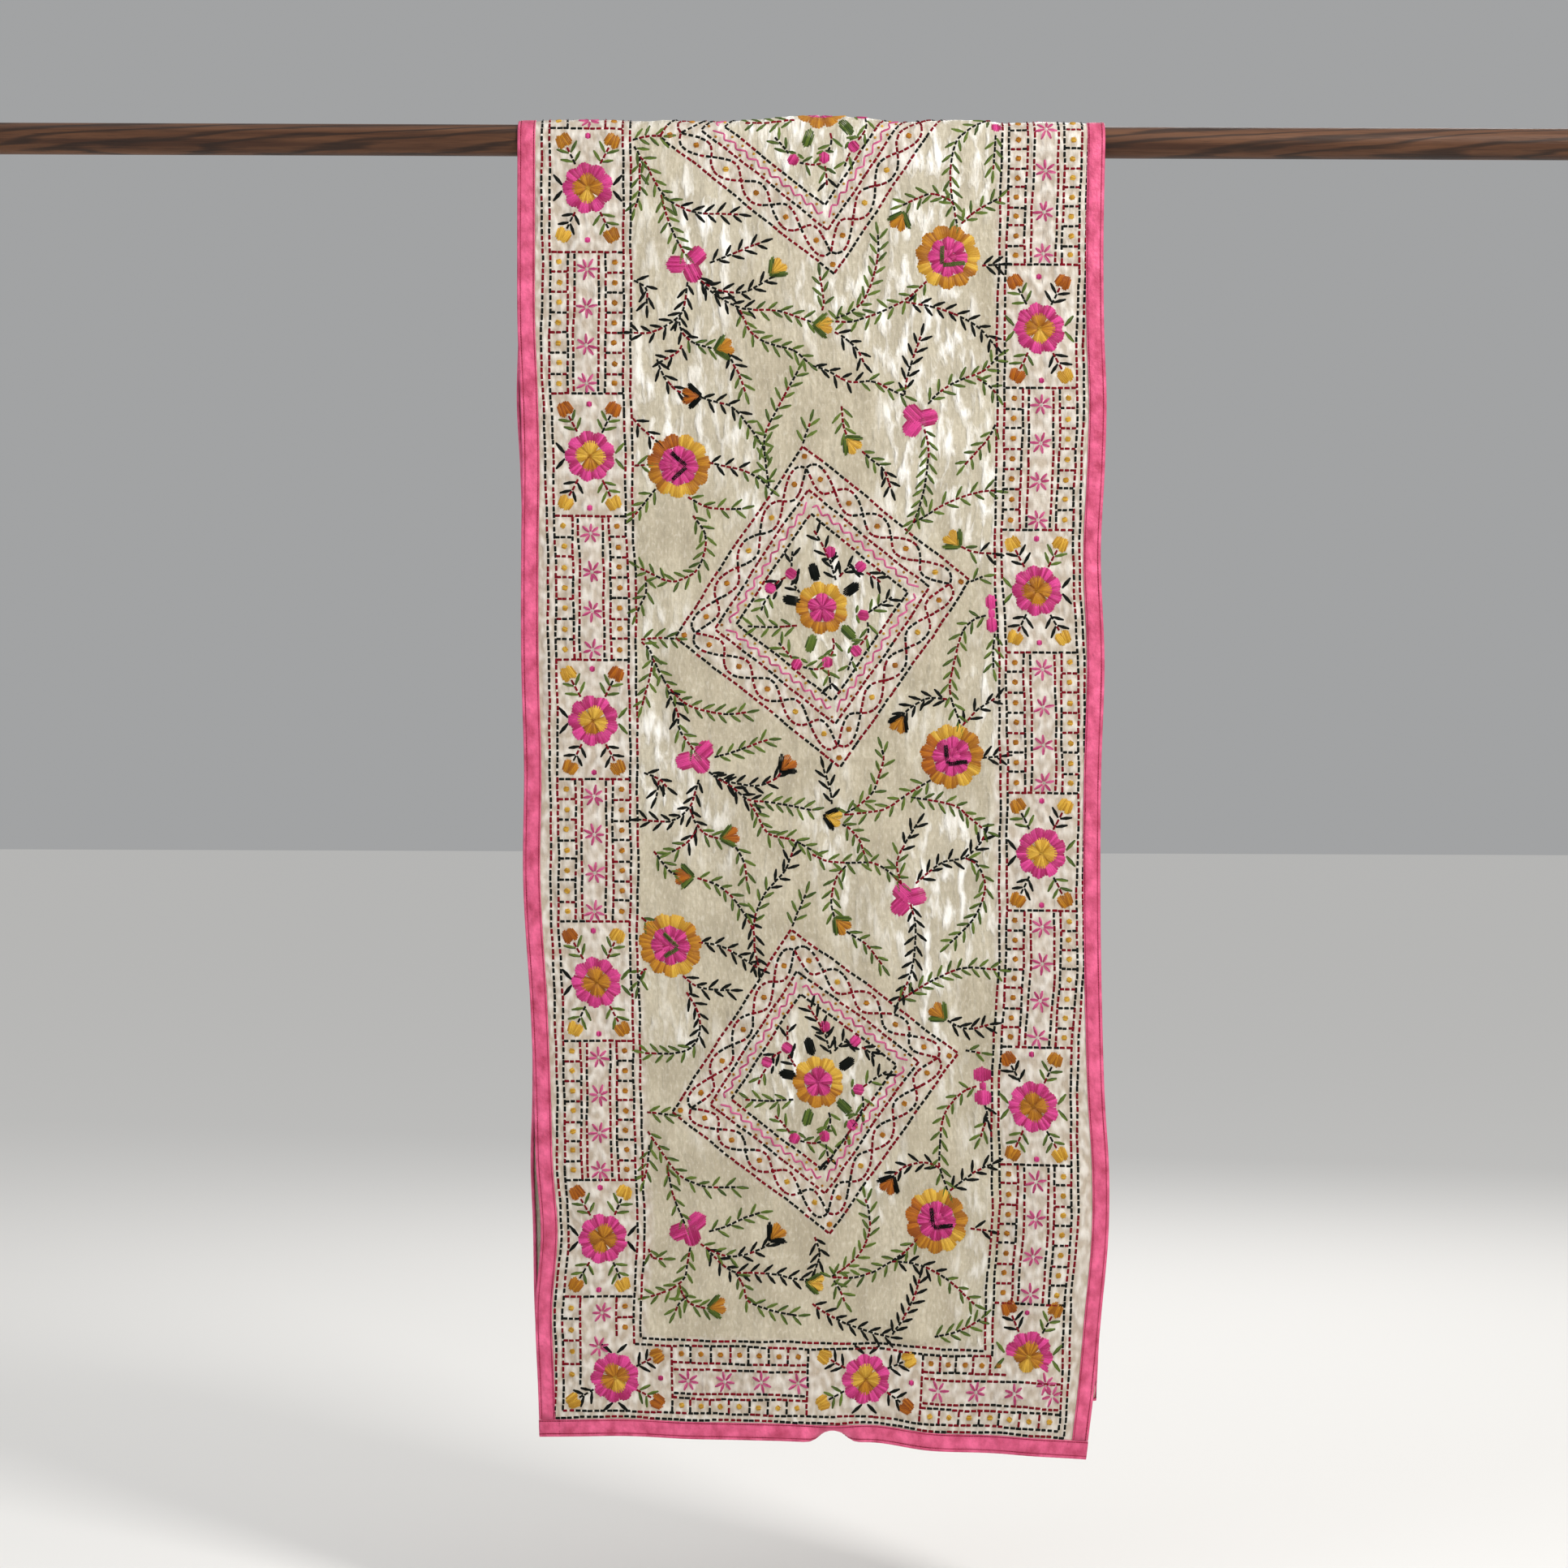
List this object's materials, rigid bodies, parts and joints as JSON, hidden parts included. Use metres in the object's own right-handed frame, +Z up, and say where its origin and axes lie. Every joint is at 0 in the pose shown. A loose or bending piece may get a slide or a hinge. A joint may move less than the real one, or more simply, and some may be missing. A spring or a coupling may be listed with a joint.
{
  "type": "embroidered stole on wooden rod",
  "caption": "Long silk stole with pink binding and running-stitch floral embroidery, folded over a round wooden rod.",
  "frame": {"origin": "on the rod's axis, midway along the rod, at the stole's centre line", "axes": "+X along the rod, to the right seen from the front; -Y towards the viewer, on the side where the longer front end falls; +Z up"},
  "size_m": [1.6, 0.0569, 1.2824],
  "materials": {
    "silk": "crinkled cream silk, soft sheen",
    "binding": "folded pink cotton silk, matt with a faint sheen",
    "rod_wood": "dark stained, satin",
    "pink_thread": "stranded embroidery thread, silky",
    "pale_pink_thread": "stranded embroidery thread, silky",
    "ochre_thread": "stranded embroidery thread, silky",
    "yellow_thread": "stranded embroidery thread, silky",
    "rust_thread": "stranded embroidery thread, silky",
    "green_thread": "stranded embroidery thread, silky",
    "dark_thread": "stranded embroidery thread, silky",
    "wine_thread": "stranded embroidery thread, silky",
    "white_thread": "stranded embroidery thread, silky"
  },
  "bodies": {
    "root": {"panel_front": "silk", "panel_over_rod": "silk", "panel_back": "silk", "binding_left": "binding", "binding_right": "binding", "binding_front_hem": "binding", "binding_back_hem": "binding", "rod": "rod_wood"}
  },
  "joints": []
}
